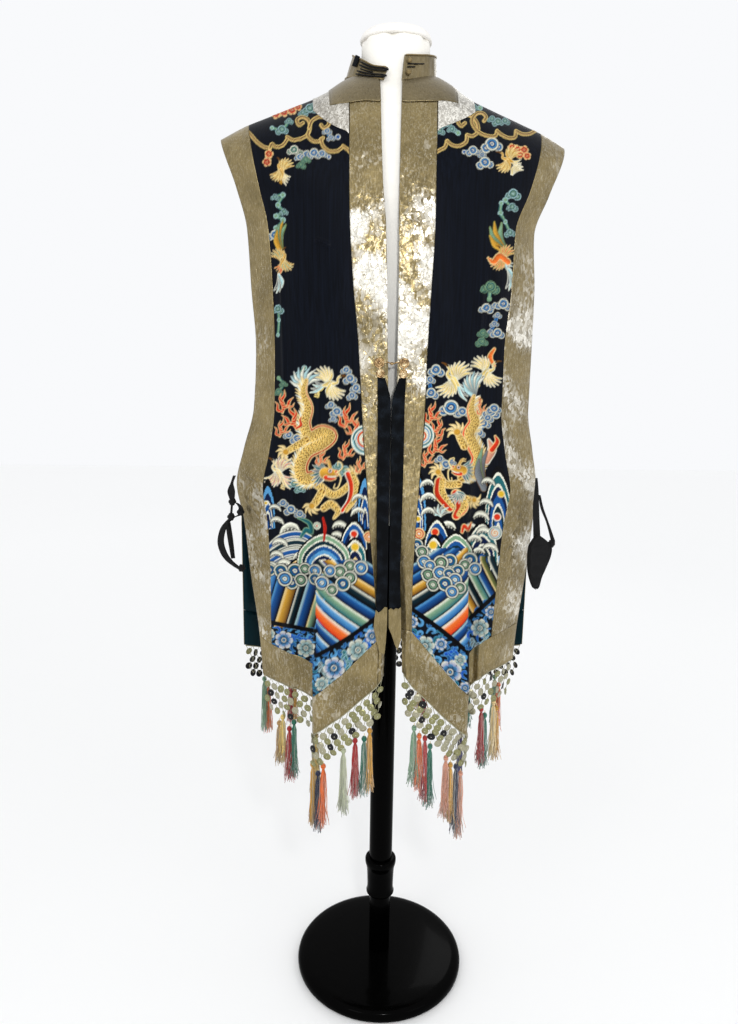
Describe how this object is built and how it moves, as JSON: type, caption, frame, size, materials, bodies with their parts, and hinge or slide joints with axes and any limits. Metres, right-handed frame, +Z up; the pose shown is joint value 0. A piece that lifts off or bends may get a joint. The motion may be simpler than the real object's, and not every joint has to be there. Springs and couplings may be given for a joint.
{
  "type": "ceremonial vest on dress form",
  "caption": "Long sleeveless ceremonial vest with pointed front hems and a tasselled net fringe, worn by a limbless dress form on a round base.",
  "frame": {"origin": "middle of the base's underside, on the pole's axis", "axes": "+Z up along the pole, -Y to the front of the vest, +X to the wearer's left"},
  "size_m": [0.576, 0.3336, 1.676],
  "materials": {
    "lining": "plain teal silk lining",
    "satin": "dark navy silk satin, embroidered",
    "metal_cloth": "crinkled silver-gold metal cloth",
    "dull_gold_cloth": "dull olive-gold metal cloth",
    "trim": "worn gilt brass",
    "gold_thread": "couched gold thread",
    "velvet": "black velvet",
    "ribbon": "black ribbed ribbon",
    "fringe": "knotted cords, sequins and thread tassels",
    "form_cloth": "cream cotton over a padded form",
    "form_cap": "cream cotton cap",
    "stand": "gloss black enamel"
  },
  "bodies": {
    "root": {"back": "satin", "back_lining": "lining", "band_center_left": "metal_cloth", "band_center_right": "metal_cloth", "band_hem_back": "metal_cloth", "band_hem_front_left": "metal_cloth", "band_hem_front_right": "metal_cloth", "band_side_back_left": "metal_cloth", "band_side_back_right": "metal_cloth", "band_side_front_left": "metal_cloth", "band_side_front_right": "metal_cloth", "base": "stand", "clasp_hook": "trim", "clasp_left": "trim", "clasp_right": "trim", "collar": "dull_gold_cloth", "collar_button_lower": "trim", "collar_button_upper": "trim", "collar_loop_lower": "trim", "collar_loop_upper": "trim", "ferrule": "stand", "form_torso": "form_cloth", "fringe_back": "fringe", "fringe_front_left": "fringe", "fringe_front_right": "fringe", "front_left": "satin", "front_right": "satin", "neck_cap": "form_cap", "pole": "stand", "pole_lower": "stand", "shoulder_patch_left": "metal_cloth", "shoulder_patch_right": "metal_cloth", "streamer_left": "velvet", "streamer_right": "velvet", "streamer_tip_left": "gold_thread", "streamer_tip_right": "gold_thread", "tie_left": "ribbon", "tie_right": "ribbon", "yoke_back": "dull_gold_cloth", "yoke_front_left": "dull_gold_cloth", "yoke_front_right": "dull_gold_cloth"}
  },
  "joints": []
}
